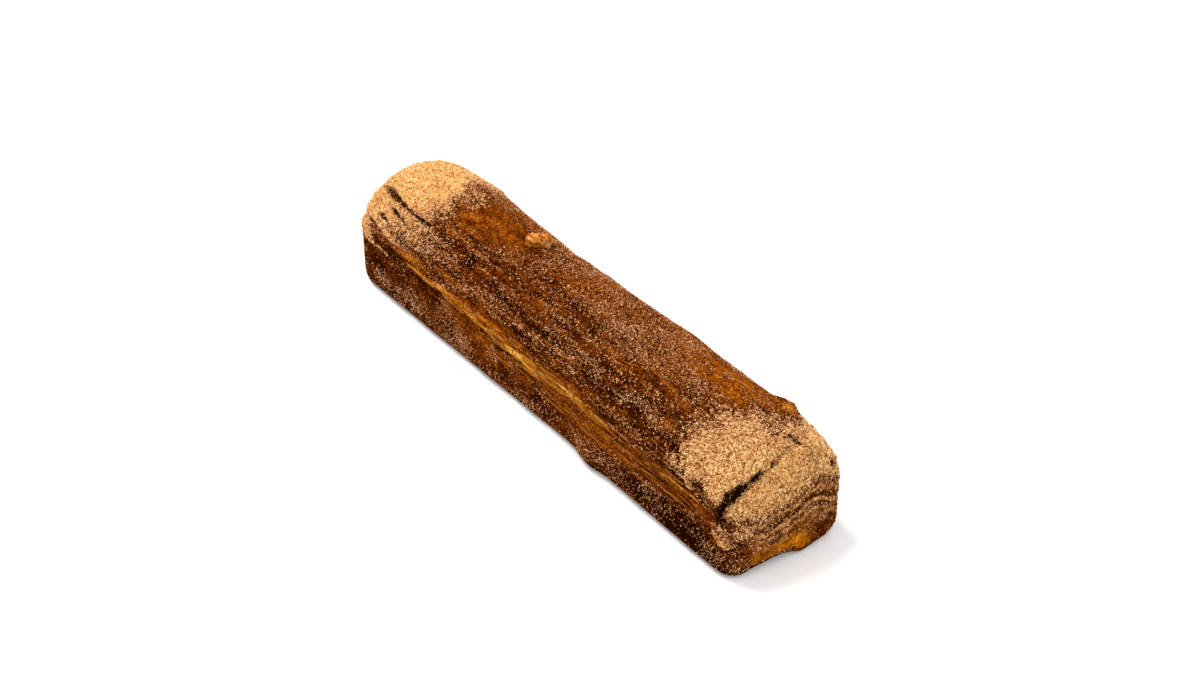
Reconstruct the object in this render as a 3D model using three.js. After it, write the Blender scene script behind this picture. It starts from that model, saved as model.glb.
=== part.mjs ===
// A bar-shaped croissant: laminated dough baked in a long square-sided tin, with a domed top.
// One closed solid, in millimetres. +X runs along the bar to the end with the open crack, the
// side at -Y is called the front, +Z is up, and the origin is under the middle of its box.

import * as THREE from 'three';

// Whole bar.
const LENGTH = 240;
const FRONT_HALF_WIDTH = 24.2;   // from the bar's centre line to its front side
const BACK_HALF_WIDTH = 26;      // from the centre line to its back side
const CROWN_HEIGHT = 44.6;       // top of the dome along the middle of the bar
const SHOULDER_HEIGHT = 26;      // where the upright sides turn into the domed top
const DOME_EXPONENT = 1.72;      // 2 is a true ellipse, less gives a tighter dome with soft shoulders
const FOOT_RADIUS = 4;           // rounding between the flat underside and the sides

// How each end is rounded off: height of the blunt face, and the reach of each rounding in X.
const FAR_END = { face: 20, roll: 17.6, front: 15.2, back: 14, foot: 3 };
const NEAR_END = { face: 12.7, roll: 36, front: 11.4, back: 13.9, foot: 2.5 };
const END_BULGE = 0.8;           // how far the blunt faces dome outwards

// Uneven proving: swells of the crown and of the back side, as height, place and reach in X.
const CROWN_SWELLS = [
  { height: 4.2, at: -84, reach: 24 },
  { height: 3, at: 52, reach: 25 },
];
const BACK_SWELL = { height: -1.2, at: -30, reach: 12 };
const FRONT_STEP = { height: 1.6, from: 22, to: 42 };   // the front side steps out at the seam's end,
const FRONT_FLARE = { height: 1.2, from: 42, to: 110 };   // and goes on widening towards the crack

// Pleats and openings of the crust. Angles run over the dome, 0 at the front shoulder, 180 at the back.
const SHOULDER_LEDGE = { height: 0.4, groove: 0.6, angle: 5 };
const PLEAT = { height: 0.4, angle: 20, lastAngle: 100, drift: 35 };
const SEAM_TAB = { height: 1.4, at: 38, reach: 11, level: 4, rise: 10 };
const BACK_FLAP = { height: 2.6, at: 88, reach: 6, angle: 145, spread: 20 };
const CORNER_LIFT = { height: 2.6, from: 106, side: 18 };
const CRACK = { at: 110.4, ridge: -14, bend: 0.006, width: 3.4, depth: 3.6, lip: 1.5, lipReach: 7,
  shoulderAngle: 14, deepTo: -7, endsAt: 13 };
const FAR_SPLITS = [
  { from: -107, to: -72, angle: 45, depth: 1.9 },
  { from: -96, to: -84, angle: 35, depth: 1 },
  { from: -100, to: -90, angle: 25, depth: 1 },
  { from: -105, to: -95, angle: 15, depth: 0.9 },
];
const SPLIT_HALF_ANGLE = 5;

// Mesh: segments round one section, and the spacing of the sections along X.
const SEGMENTS = { underside: 2, foot: 3, side: 5, dome: 36, face: 3 };
const SECTION_SPACING = { middle: 5, atEnd: 0.16, endGrowth: 0.86, atCrack: 0.9, crackGrowth: 0.4,
  crackReach: 3 };

const CRUST_COLOR = 0x7a4319;
const CRUST_ROUGHNESS = 0.62;

const HALF_LENGTH = LENGTH / 2 - END_BULGE;   // from the middle to the section that bounds each blunt face
const { clamp, smoothstep, degToRad } = THREE.MathUtils;

// A quarter round: 0 on an end face, rising steeply to 1 at `reach` from it.
function roundOff(distance, reach) {
  const t = clamp(distance / reach, 0, 1);
  return Math.sqrt(1 - (1 - t) ** 2);
}

function swell(x, { height, at, reach }) {
  return height * Math.exp(-(((x - at) / reach) ** 2));
}

// How far a side or the underside has drawn in at x, towards the nearer end.
function drawnIn(x, side) {
  return FAR_END[side] * (1 - roundOff(x + HALF_LENGTH, FAR_END[side]))
    + NEAR_END[side] * (1 - roundOff(HALF_LENGTH - x, NEAR_END[side]));
}

function frontHalfWidth(x) {
  const widening = [FRONT_STEP, FRONT_FLARE]
    .reduce((sum, { height, from, to }) => sum + height * smoothstep(x, from, to), 0);
  return FRONT_HALF_WIDTH + widening - drawnIn(x, 'front');
}

function backHalfWidth(x) {
  return BACK_HALF_WIDTH + swell(x, BACK_SWELL) - drawnIn(x, 'back');
}

function crownHeight(x) {
  const middle = CROWN_HEIGHT + CROWN_SWELLS.reduce((sum, one) => sum + swell(x, one), 0);
  const far = FAR_END.face + (middle - FAR_END.face) * roundOff(x + HALF_LENGTH, FAR_END.roll);
  return NEAR_END.face + (far - NEAR_END.face) * roundOff(HALF_LENGTH - x, NEAR_END.roll);
}

// The shoulders drop with the crown over the ends.
function shoulderHeight(x) {
  const levelAbove = 42;
  const dropExponent = 0.75;
  return SHOULDER_HEIGHT * Math.min(1, crownHeight(x) / levelAbove) ** dropExponent;
}

// The underside rises off the table at both ends, most at the near end's back corner.
function undersideHeight(x, y) {
  const corner = smoothstep(x, CORNER_LIFT.from, HALF_LENGTH) * smoothstep(y, 0, CORNER_LIFT.side);
  return drawnIn(x, 'foot') + CORNER_LIFT.height * corner;
}

// A bump that is 1 at its centre and 0 from `reach` away.
function bump(distance, reach) {
  return 1 - smoothstep(Math.abs(distance), 0, reach);
}

// How far the end of the dough's seam stands out of the front side, near the foot.
function seamTab(x, z) {
  return SEAM_TAB.height * bump(x - SEAM_TAB.at, SEAM_TAB.reach) * bump(z - SEAM_TAB.level, SEAM_TAB.rise);
}

// One section of the smooth bar, as points with the dome angle they lie at (null off the dome).
// It runs from the middle of the underside round the front, over the top and back.
function section(x) {
  const front = frontHalfWidth(x);
  const back = backHalfWidth(x);
  const shoulder = shoulderHeight(x);
  const crown = crownHeight(x);
  const foot = Math.min(FOOT_RADIUS, (shoulder - undersideHeight(x, 0)) / 2);
  const points = [];
  const place = (y, z, angle = null) => points.push({ position: new THREE.Vector3(x, y, z), angle });

  const bottom = (y) => undersideHeight(x, y);
  for (let k = 0; k < SEGMENTS.underside; k++) {
    const y = (-(front - foot) * k) / SEGMENTS.underside;
    place(y, bottom(y));
  }
  for (let k = 0; k < SEGMENTS.foot; k++) {
    const turn = (Math.PI / 2) * (k / SEGMENTS.foot);
    const y = -(front - foot) - foot * Math.sin(turn);
    const z = bottom(y) + foot * (1 - Math.cos(turn));
    place(y - seamTab(x, z), z);
  }
  for (let k = 0; k < SEGMENTS.side; k++) {
    const low = bottom(-front) + foot;
    const z = low + ((shoulder - low) * k) / SEGMENTS.side;
    place(-front - seamTab(x, z), z);
  }
  for (let k = 0; k < SEGMENTS.dome; k++) {
    const angle = (180 * k) / SEGMENTS.dome;
    const across = Math.cos(degToRad(angle));
    const reach = across > 0 ? front : back;
    const y = -Math.sign(across) * reach * Math.abs(across) ** (2 / DOME_EXPONENT);
    const rise = Math.sin(degToRad(angle)) ** (2 / DOME_EXPONENT);
    place(y, shoulder + (crown - shoulder) * rise, angle);
  }
  for (let k = 0; k < SEGMENTS.side; k++) {
    const low = bottom(back) + foot;
    place(back, shoulder - ((shoulder - low) * k) / SEGMENTS.side);
  }
  for (let k = SEGMENTS.foot; k > 0; k--) {
    const turn = (Math.PI / 2) * (k / SEGMENTS.foot);
    const y = back - foot + foot * Math.sin(turn);
    place(y, bottom(y) + foot * (1 - Math.cos(turn)));
  }
  for (let k = SEGMENTS.underside; k > 0; k--) {
    const y = ((back - foot) * k) / SEGMENTS.underside;
    place(y, bottom(y));
  }
  return points;
}

// The open crack across the near end: a groove with a raised lip on the side of the bar.
function crackRelief(x, y, angle) {
  const behind = CRACK.at - CRACK.bend * (y - CRACK.ridge) ** 2 - x;
  const open = smoothstep(angle, 0, CRACK.shoulderAngle) * (1 - smoothstep(y, CRACK.deepTo, CRACK.endsAt));
  const groove = -CRACK.depth * bump(behind, CRACK.width);
  const lip = behind > 0 ? CRACK.lip * bump(behind, CRACK.lipReach) : 0;
  return open * (groove + lip);
}

// The short splits that run lengthwise over the far end.
function splitRelief(x, angle) {
  const along = ({ from, to }) => bump(x - (from + to) / 2, (to - from) / 2);
  return FAR_SPLITS.reduce((sum, split) =>
    sum - split.depth * along(split) * bump(angle - split.angle, SPLIT_HALF_ANGLE), 0);
}

// Height of the crust's folds above the smooth bar, in mm along its outward direction.
function relief({ position, angle }) {
  if (angle === null) return 0;
  const { x, y } = position;
  const clearOfEnds = smoothstep(x + HALF_LENGTH, 0, FAR_END.front)
    * smoothstep(CRACK.at - x, 0, NEAR_END.front);
  const ledge = SHOULDER_LEDGE.height * bump(angle, SHOULDER_LEDGE.angle)
    - SHOULDER_LEDGE.groove * bump(angle - SHOULDER_LEDGE.angle, SHOULDER_LEDGE.angle);
  const fold = Math.cos((2 * Math.PI * (angle + x / PLEAT.drift)) / PLEAT.angle);
  const pleats = PLEAT.height * fold * (1 - smoothstep(angle, PLEAT.angle, PLEAT.lastAngle));
  const flap = BACK_FLAP.height * bump(x - BACK_FLAP.at, BACK_FLAP.reach)
    * bump(angle - BACK_FLAP.angle, BACK_FLAP.spread);
  return clearOfEnds * (ledge + pleats) + flap + splitRelief(x, angle) + crackRelief(x, y, angle);
}

// Where the sections stand along X: close together over the ends and across the crack.
function sectionPlaces() {
  const spacing = SECTION_SPACING;
  const places = [-HALF_LENGTH];
  for (let x = -HALF_LENGTH; x < HALF_LENGTH;) {
    const toEnd = Math.min(x + HALF_LENGTH, HALF_LENGTH - x);
    const toCrack = Math.max(0, Math.abs(x - CRACK.at) - spacing.crackReach);
    x += Math.min(spacing.middle, spacing.atEnd + spacing.endGrowth * Math.sqrt(Math.max(0, toEnd)),
      spacing.atCrack + spacing.crackGrowth * toCrack);
    places.push(x);
  }
  const stretch = (2 * HALF_LENGTH) / (places[places.length - 1] + HALF_LENGTH);
  return places.map((x) => -HALF_LENGTH + (x + HALF_LENGTH) * stretch);
}

// Moves every point of the smooth bar outwards by the height of the folds there.
function foldedSections() {
  const smooth = sectionPlaces().map(section);
  const last = smooth.length - 1;
  return smooth.map((ring, i) => ring.map((point, j) => {
    const before = smooth[Math.max(i - 1, 0)][j].position;
    const after = smooth[Math.min(i + 1, last)][j].position;
    const below = ring[(j + ring.length - 1) % ring.length].position;
    const above = ring[(j + 1) % ring.length].position;
    const along = new THREE.Vector3().subVectors(after, before);
    const around = new THREE.Vector3().subVectors(above, below);
    const outward = new THREE.Vector3().crossVectors(along, around).normalize();
    return point.position.clone().addScaledVector(outward, relief(point));
  }));
}

// The rings that close a blunt end: the end section shrunk towards its middle and pushed out.
function faceRings(ring, outward) {
  const middle = ring.reduce((sum, p) => sum.add(p), new THREE.Vector3()).divideScalar(ring.length);
  const rings = [];
  for (let k = 1; k < SEGMENTS.face; k++) {
    const shrink = 1 - k / SEGMENTS.face;
    const bulge = END_BULGE * (1 - shrink ** 2) * outward;
    rings.push(ring.map((p) => new THREE.Vector3().lerpVectors(middle, p, shrink).setX(p.x + bulge)));
  }
  const tip = middle.clone().setX(middle.x + END_BULGE * outward);
  return { rings, tip };
}

// Joins the rings, in order along X, into one closed skin with its faces pointing out.
function barGeometry() {
  const sections = foldedSections();
  const far = faceRings(sections[0], -1);
  const near = faceRings(sections[sections.length - 1], 1);
  const rings = [...far.rings.reverse(), ...sections, ...near.rings];
  const around = rings[0].length;
  const positions = rings.flat().flatMap((p) => [p.x, p.y, p.z]);
  const farTip = rings.length * around;
  positions.push(...far.tip.toArray(), ...near.tip.toArray());

  const faces = [];
  for (let i = 0; i < rings.length - 1; i++) {
    for (let j = 0; j < around; j++) {
      const next = (j + 1) % around;
      const [a, b, c, d] = [i * around + j, i * around + next, (i + 1) * around + next, (i + 1) * around + j];
      faces.push(a, c, b, a, d, c);
    }
  }
  const lastRing = (rings.length - 1) * around;
  for (let j = 0; j < around; j++) {
    const next = (j + 1) % around;
    faces.push(farTip, j, next);
    faces.push(farTip + 1, lastRing + next, lastRing + j);
  }
  const geometry = new THREE.BufferGeometry();
  geometry.setAttribute('position', new THREE.Float32BufferAttribute(positions, 3));
  geometry.setIndex(faces);
  return geometry;
}

// Stands the bar on z = 0 with the middle of its box over the origin.
function standOnOrigin(geometry) {
  geometry.computeBoundingBox();
  const middle = geometry.boundingBox.getCenter(new THREE.Vector3());
  geometry.translate(-middle.x, -middle.y, -geometry.boundingBox.min.z);
  geometry.computeVertexNormals();
  return geometry;
}

const crust = new THREE.MeshStandardMaterial({
  color: CRUST_COLOR,
  roughness: CRUST_ROUGHNESS,
  metalness: 0,
});
const croissant = new THREE.Mesh(standOnOrigin(barGeometry()), crust);
croissant.name = 'croissant';

const model = new THREE.Group();
model.add(croissant);

export default model;
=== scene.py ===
"""A bar-shaped croissant: crust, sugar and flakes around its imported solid, on a pale floor.

Forms are worked out in millimetres in the bar's own section frame, as in part.mjs, and turned into
metres in the row frame when a mesh is made. +X runs to the end with the open crack, -Y is the front.
"""

import functools
import itertools
import math
from types import SimpleNamespace as Sizes

import bmesh
import bpy
import numpy as np
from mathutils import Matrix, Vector


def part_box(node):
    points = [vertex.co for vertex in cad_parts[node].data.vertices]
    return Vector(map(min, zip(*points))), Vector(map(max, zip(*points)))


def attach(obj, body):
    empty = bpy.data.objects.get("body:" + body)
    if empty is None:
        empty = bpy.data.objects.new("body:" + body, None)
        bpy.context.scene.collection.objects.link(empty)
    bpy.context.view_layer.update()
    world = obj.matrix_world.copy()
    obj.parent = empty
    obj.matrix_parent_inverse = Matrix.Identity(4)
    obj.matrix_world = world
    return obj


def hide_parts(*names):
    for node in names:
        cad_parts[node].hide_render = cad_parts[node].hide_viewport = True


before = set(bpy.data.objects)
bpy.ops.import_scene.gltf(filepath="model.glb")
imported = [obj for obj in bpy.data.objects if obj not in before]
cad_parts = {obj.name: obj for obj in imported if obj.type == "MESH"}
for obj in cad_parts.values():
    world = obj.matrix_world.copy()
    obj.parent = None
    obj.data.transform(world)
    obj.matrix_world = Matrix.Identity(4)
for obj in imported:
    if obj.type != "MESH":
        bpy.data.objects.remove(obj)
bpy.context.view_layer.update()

NODE = "croissant"
BODY = "root"
MM = 0.001
SEED = 20

# ---------------------------------------------------------------- form (mm, degrees)
# The sizes of part.mjs, apart from the near end's front rounding, the flap, the crack and the splits,
# which are set finer here.
LENGTH = 240
FRONT_HALF_WIDTH = 24.2
BACK_HALF_WIDTH = 26
CROWN_HEIGHT = 44.6
SHOULDER_HEIGHT = 26
SHOULDER_DROP = Sizes(crown_below=42, exponent=0.75)
DOME_EXPONENT = 1.72
FOOT_RADIUS = 4
END_BULGE = 0.8
HALF_LENGTH = LENGTH / 2 - END_BULGE
FAR_END = {"face": 20, "roll": 17.6, "front": 15.2, "back": 14, "foot": 3}
NEAR_END = {"face": 12.7, "roll": 36, "front": 10, "back": 13.9, "foot": 2.5}
CROWN_SWELLS = [(4.2, -84, 24), (3, 52, 25)]           # height, place, reach
BACK_SWELL = (-1.2, -30, 12)
FRONT_WIDENINGS = [(1.6, 22, 42), (1.2, 42, 110)]      # height, from, to
SHOULDER_LEDGE = Sizes(height=0.4, groove=0.6, angle=5)
PLEAT = Sizes(height=0.4, angle=20, last_angle=100, drift=35)
SEAM_TAB = Sizes(height=1.4, at=38, reach=11, level=4, rise=10)
CORNER_LIFT = Sizes(height=2.6, start=106, side=18)

# Mesh of the crust: rows round a section and spacing of the sections.
ROWS = Sizes(underside=4, foot=6, front_side=50, dome=164, back_side=30, face=16)
SPACING = Sizes(middle=1.0, at_end=0.04, end_growth=0.34, at_crack=0.42, crack_growth=0.12, crack_reach=4,
                powder_edge=0.6)
POWDER_EDGES = [(-100, -66), (77, 96)]                 # where the powder thins out along the bar

# The bare crust lies a little inside the solid, and its coat of sugar and powder fills the rest.
COAT = 0.35
POWDER_HEIGHT = 0.3

axis_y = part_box(NODE)[1].y / MM - BACK_HALF_WIDTH      # the section axis in the row frame
LOW_CORNER = np.array([-LENGTH / 2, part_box(NODE)[0].y / MM - axis_y, 0])
HIGH_CORNER = np.array([LENGTH / 2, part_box(NODE)[1].y / MM - axis_y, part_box(NODE)[1].z / MM])

# Details of the crust. A turn is a place round the bar: degrees over the dome, 0 at the front shoulder
# and 180 at the back one; on the sides, millimetres below the shoulder, before 0 and after 180.
# Bands hold where something sets in, is full, begins to fade and ends. Noises hold a height, the size
# of the lumps, a seed and, where they are drawn out along X, a stretch.
# The insides of the crack, its hollow, the splits, the notch and the pit are painted dark as painted shade.
CRACK = Sizes(at=110, ridge=-14, bend=0.006, width=3.4, depth=3.6, lip=1.5, lip_reach=7, shoulder=14,
              widest=38, narrow_from=55, ends_at=98, char=1.5, edge=[(0.55, 1.8, 31), (0.3, 0.7, 32)])
CRACK_WIDTHS = Sizes(least=0.29, open=0.03, foot=0.2, widest=0.34)   # shares of the crack's width
HOLLOW = Sizes(place=(110.8, 10, 4.6, 17), start=106, depth=2.2, char=0.85, edge=(0.25, 2, 35))

# Splits over the far end's front corner, and two short ones above the crack's end: their two ends as
# (x, turn), how far their middle sags round the bar, and how much narrower their last part is.
SPLITS = [
    Sizes(start=(-107.5, 51.5), end=(-71, 44), sag=-4.5, width=5.0, fade=0.5, depth=2.6),
    Sizes(start=(-96, 36), end=(-83, 29.5), sag=0.3, width=2.9, fade=0.2, depth=1.5),
    Sizes(start=(-100, 26.5), end=(-89, 20), sag=0, width=3.9, fade=0.3, depth=1.6),
    Sizes(start=(-107, 16), end=(-95, 9.5), sag=0, width=3.0, fade=0.2, depth=1.0),
    Sizes(start=(103, 113), end=(108.5, 121), sag=0, width=3.4, fade=0, depth=0.9),
    Sizes(start=(109.5, 121), end=(112, 128), sag=0, width=2.4, fade=0, depth=0.8)]
SPLIT_EDGE = [(0.5, 3, 41), (0.9, 1.1, 42)]
SPLIT_SHADE = 0.72

BACK_FLAP = Sizes(height=2.1, spot=(88, 145, 7, 20), edge=[(0.4, 3, 51), (0.3, 1.3, 52)])
BACK_NOTCH = Sizes(x=111.5, y=23, z=26, reach=3.4, depth=2)
BACK_HOLLOW = Sizes(spot=(60, 130, 24, 40), depth=1.1)
# Pits in the crown: x, turn, radius, depth.
PITS = [(-47, 44, 3.4, 1.5), (-20, 33, 1.8, 0.7), (20, 58, 2, 0.6), (62, 40, 2.4, 0.8), (36, 84, 1.6, 0.6)]
# Pale chips that stand out of the front side's end, below the crack: x, turn, reach along and round.
CHIPS = [(112.2, -5.4, 3.8, 1.5), (112.4, 0.6, 1.5, 1.3)]
CHIP = Sizes(height=1.2, edge=[(0.34, 1.9, 57), (0.2, 0.8, 58)])

# The nose's layers: their top edge turns up at the front corner, climbs, and is rolled down round the
# back. They set in along X and below that edge, and behind the front corner at other places lower down.
NOSE = Sizes(top=24.8, climb=0.21, corner_at=-10, corner_curve=0.03, roll_y=8, roll_z=4, spacing=3.3,
             along=(111, 113.5), shown=(-1.6, -0.2, 13, 15), front=(-22.5, -18), front_lower=(-19.5, -13),
             height=1.0, puff=1.2, groove=0.7, sink=0.9, puffed=(40, 66, 128, 150),
             edge=[(1.3, 13, 61), (0.2, 3.5, 62)], wander=[(0.4, 8, 69), (0.24, 2.6, 70), (0.12, 1.1, 74)])
# The golden core under the layers: its top below the nose's edge changes with Y in steps; it is
# brightest round a place (y, z, reach across, reach up). Under it and behind it lies a brown rim,
# partly painted shade.
NOSE_CORE = Sizes(along=(112.5, 115), top=4, steps=[(5.8, -17, -9), (-2.4, -6, 2)], soft=1.8,
                  front=(-20.5, -16), back=(4, 10), foot=(1.8, 4.4), bright=(-3, 6.5, 16, 7.5),
                  top_edge=(0.9, 4, 65), front_edge=(1.2, 3, 66), foot_edge=(1.2, 3, 68))
# The rim is brown crust darkened with painted shade along the foot and in the hollow behind the core.
NOSE_RIM_AND_SHADE = Sizes(along=(112, 115), foot=(1.6, 3.2), back=(2, 8), below=(9.5, 12), edge=(0.6, 3, 67))
NOSE_PIT = Sizes(x=112, y=-22, z=14, reach=2.4, depth=1.2, char=0.6)
NOSE_GAP = Sizes(height=3.2, start=110)

# The golden fold below the front shoulder: its level changes in steps of (height, from, to) along X.
FOLD = Sizes(level=1.6, steps=[(2.4, -40, -12), (-1.6, 0, 30)], half_width=2.6, wider=0.4,
             wider_band=(-35, -10, 30, 60), height=0.4, groove=0.7, band=(-100, -80, 88, 104),
             gold_band=(-94, -52, 100, 108), dull=0.68, dull_from=32, dull_to=58)
# The far end's front edge stands out below the shoulder and is drawn in above it.
FAR_EDGE = Sizes(height=0.6, ledge_turn=-9, groove_turn=16, start=-112, end=-100)

# Fine lengthwise ridges and the creases between them.
RIDGES = Sizes(front=(-15, -8, 58, 84), back=(150, 170, 190, 196), back_share=0.7, height=0.3, crease=0.5)
UNEVEN = [(0.45, 13, 1), (0.24, 5, 3, 1.6), (0.13, 1.7, 7)]


def rising(value, low, high):
    """0 up to `low`, 1 from `high` on."""
    t = np.clip((value - low) / (high - low), 0, 1)
    return t * t * (3 - 2 * t)


def fading(value, low, high):
    """1 up to `low`, 0 from `high` on."""
    return 1 - rising(value, low, high)


def steps(value, changes):
    """Sum of changes, each a height with the values where it begins and where it is full."""
    return sum(height * rising(value, start, full) for height, start, full in changes)


def band(value, start, full, fade, end):
    """1 from `full` to `fade`, 0 before `start` and after `end`."""
    return rising(value, start, full) * fading(value, fade, end)


def bump(distance, reach):
    """1 at the centre of a feature, 0 from `reach` away."""
    return fading(np.abs(distance), 0, reach)


def cleft(distance, half_width):
    """Like bump, with a flat floor and steep walls."""
    return fading(np.abs(distance) / half_width, 0.4, 1.1)


def round_off(distance, reach):
    t = np.clip(distance / reach, 0, 1)
    return np.sqrt(1 - (1 - t) ** 2)


def swell(x, height, at, reach):
    return height * np.exp(-(((x - at) / reach) ** 2))


def drawn_in(x, side):
    return (FAR_END[side] * (1 - round_off(x + HALF_LENGTH, FAR_END[side]))
            + NEAR_END[side] * (1 - round_off(HALF_LENGTH - x, NEAR_END[side])))


def front_half_width(x):
    return FRONT_HALF_WIDTH + steps(x, FRONT_WIDENINGS) - drawn_in(x, "front")


def back_half_width(x):
    return BACK_HALF_WIDTH + swell(x, *BACK_SWELL) - drawn_in(x, "back")


def crown_height(x):
    middle = CROWN_HEIGHT + sum(swell(x, *one) for one in CROWN_SWELLS)
    far = FAR_END["face"] + (middle - FAR_END["face"]) * round_off(x + HALF_LENGTH, FAR_END["roll"])
    return NEAR_END["face"] + (far - NEAR_END["face"]) * round_off(HALF_LENGTH - x, NEAR_END["roll"])


def shoulder_height(x):
    low_crown = np.minimum(1, crown_height(x) / SHOULDER_DROP.crown_below)
    return SHOULDER_HEIGHT * low_crown ** SHOULDER_DROP.exponent


def underside_height(x, y):
    corner = rising(x, CORNER_LIFT.start, HALF_LENGTH) * rising(y, 0, CORNER_LIFT.side)
    return drawn_in(x, "foot") + CORNER_LIFT.height * corner


def seam_tab(x, z):
    along = bump(x - SEAM_TAB.at, SEAM_TAB.reach)
    return SEAM_TAB.height * along * bump(z - SEAM_TAB.level, SEAM_TAB.rise)


# ---------------------------------------------------------------- smooth bar as a grid of points
def section_places():
    """Where the sections stand along X: close together over the ends and across the crack."""
    places = [-HALF_LENGTH]
    while places[-1] < HALF_LENGTH:
        x = places[-1]
        to_end = max(0, min(x + HALF_LENGTH, HALF_LENGTH - x))
        to_crack = max(0, abs(x - CRACK.at) - SPACING.crack_reach)
        at_edge = any(start < x < end for start, end in POWDER_EDGES)
        places.append(x + min(SPACING.powder_edge if at_edge else SPACING.middle,
                              SPACING.at_end + SPACING.end_growth * math.sqrt(to_end),
                              SPACING.at_crack + SPACING.crack_growth * to_crack))
    places = np.array(places)
    return -HALF_LENGTH + (places + HALF_LENGTH) * 2 * HALF_LENGTH / (places[-1] + HALF_LENGTH)


def section_columns(x):
    """The points round every section, as columns of (y, z), and the dome angle of each column."""
    front, back = front_half_width(x), back_half_width(x)
    shoulder, crown = shoulder_height(x), crown_height(x)
    foot = np.minimum(FOOT_RADIUS, (shoulder - underside_height(x, 0)) / 2)
    columns, angles = [], []

    def place(y, z, angle=np.nan):
        columns.append((y + 0 * x, z + 0 * x))
        angles.append(angle)

    def place_under(side, half_width, k):
        y = side * (half_width - foot) * k / ROWS.underside
        place(y, underside_height(x, y))

    def place_foot(side, half_width, k):
        turn = math.pi / 2 * k / ROWS.foot
        y = side * (half_width - foot + foot * math.sin(turn))
        z = underside_height(x, y) + foot * (1 - math.cos(turn))
        place(y - seam_tab(x, z) * (side < 0), z)

    for k in range(ROWS.underside):
        place_under(-1, front, k)
    for k in range(ROWS.foot):
        place_foot(-1, front, k)
    for k in range(ROWS.front_side):
        low = underside_height(x, -front) + foot
        z = low + (shoulder - low) * k / ROWS.front_side
        place(-front - seam_tab(x, z), z)
    for k in range(ROWS.dome):
        angle = 180 * k / ROWS.dome
        across = math.cos(math.radians(angle))
        reach = front if across > 0 else back
        rise = math.sin(math.radians(angle)) ** (2 / DOME_EXPONENT)
        place(-math.copysign(1, across) * reach * abs(across) ** (2 / DOME_EXPONENT),
              shoulder + (crown - shoulder) * rise, angle)
    for k in range(ROWS.back_side):
        low = underside_height(x, back) + foot
        place(back, shoulder - (shoulder - low) * k / ROWS.back_side)
    for k in range(ROWS.foot, 0, -1):
        place_foot(1, back, k)
    for k in range(ROWS.underside, 0, -1):
        place_under(1, back, k)
    return np.array(columns), np.array(angles)


def smooth_bar():
    """Grid of points [section, column, xyz] of the smooth bar with its blunt faces, and the angles."""
    x = section_places()
    columns, angles = section_columns(x)
    body = np.stack([np.repeat(x[:, None], len(angles), 1), columns[:, 0].T, columns[:, 1].T], -1)

    def face(ring, outward):
        shrink = 1 - np.arange(1, ROWS.face + 1)[:, None, None] / (ROWS.face + 0.5)
        rings = ring.mean(0) + (ring - ring.mean(0)) * shrink
        rings[..., 0] = ring[:, 0] + END_BULGE * (1 - shrink[..., 0] ** 2) * outward
        return rings

    return np.concatenate([face(body[0], -1)[::-1], body, face(body[-1], 1)]), angles


def grid_normals(points):
    """Outward direction at every point of a grid that closes round its columns."""
    along = np.gradient(points, axis=0)
    around = np.roll(points, -1, 1) - np.roll(points, 1, 1)
    outward = np.cross(along, around)
    return outward / np.maximum(np.linalg.norm(outward, axis=-1, keepdims=True), 1e-9)


# ---------------------------------------------------------------- noise
def hashed(cells, seed):
    """A repeatable number between -1 and 1 for every whole-number cell."""
    mixed = seed * 374761393
    for cell, prime in zip(cells, (73856093, 19349663, 83492791)):
        mixed = mixed ^ (cell * prime)
    mixed = (mixed ^ (mixed >> 13)) * 1274126177 & 0xFFFFFFFF
    mixed = (mixed ^ (mixed >> 16)) * 668265263 & 0xFFFFFFFF
    return (mixed & 0xFFFF) / 32767.5 - 1


def noise(places, seed):
    """Smooth noise between -1 and 1 with lumps one unit wide, at places given as (x, y, z)."""
    cells = [np.floor(v).astype(np.int64) for v in places]
    fades = [(v - c) ** 2 * (3 - 2 * (v - c)) for v, c in zip(places, cells)]
    total = 0
    for corner in itertools.product((0, 1), repeat=3):
        weight = math.prod(f if c else 1 - f for f, c in zip(fades, corner))
        total = total + weight * hashed([cell + c for cell, c in zip(cells, corner)], seed)
    return total


def lumps(x, y, z, size, seed, stretch=1):
    """Noise with lumps of `size` mm, drawn out along X by `stretch`, in two octaves."""
    first = noise((x / size / stretch, y / size, z / size), seed)
    second = noise((2.1 * x / size / stretch, 2.1 * y / size, 2.1 * z / size), seed + 1)
    return first * 0.68 + second * 0.32


# ---------------------------------------------------------------- places on the crust
class Skin:
    """The smooth bar's points with what the relief, the masks and the scattering ask of them."""

    def __init__(self):
        points, angles = smooth_bar()
        self.smooth = points
        self.x, self.y, self.z = np.moveaxis(points, -1, 0)
        below = shoulder_height(np.clip(self.x, -HALF_LENGTH, HALF_LENGTH)) - self.z
        on_dome = ~np.isnan(angles)[None, :]
        self.dome = np.broadcast_to(on_dome, self.x.shape)
        on_side = np.where(self.y < 0, -below, 180 + below)
        self.turn = np.where(on_dome, np.nan_to_num(angles)[None, :], on_side)
        self.side_level = np.where(self.y < 0, -self.turn, self.turn - 180)
        self.off_table = rising(self.z, 0.3, 3.5)
        self.below_edge = below_nose_edge(self)
        self.before_crack = rising(self.x, 110.5, 113)

    def lumps(self, size, seed, stretch=1):
        return lumps(self.x, self.y, self.z, size, seed, stretch)

    def rough(self, *noises):
        """Sum of noises, each a height with what `lumps` asks for."""
        return sum(height * self.lumps(*rest) for height, *rest in noises)

    def away(self, x, turn, reach_x, reach_turn):
        """Distance from a place on the crust: 1 at its reach along the bar and round it."""
        return np.hypot((self.x - x) / reach_x, (self.turn - turn) / reach_turn)

    def spot(self, x, turn, reach_x, reach_turn):
        """1 at a place on the crust, 0 from its reach away along the bar or round it."""
        return bump(self.x - x, reach_x) * bump(self.turn - turn, reach_turn)


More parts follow.
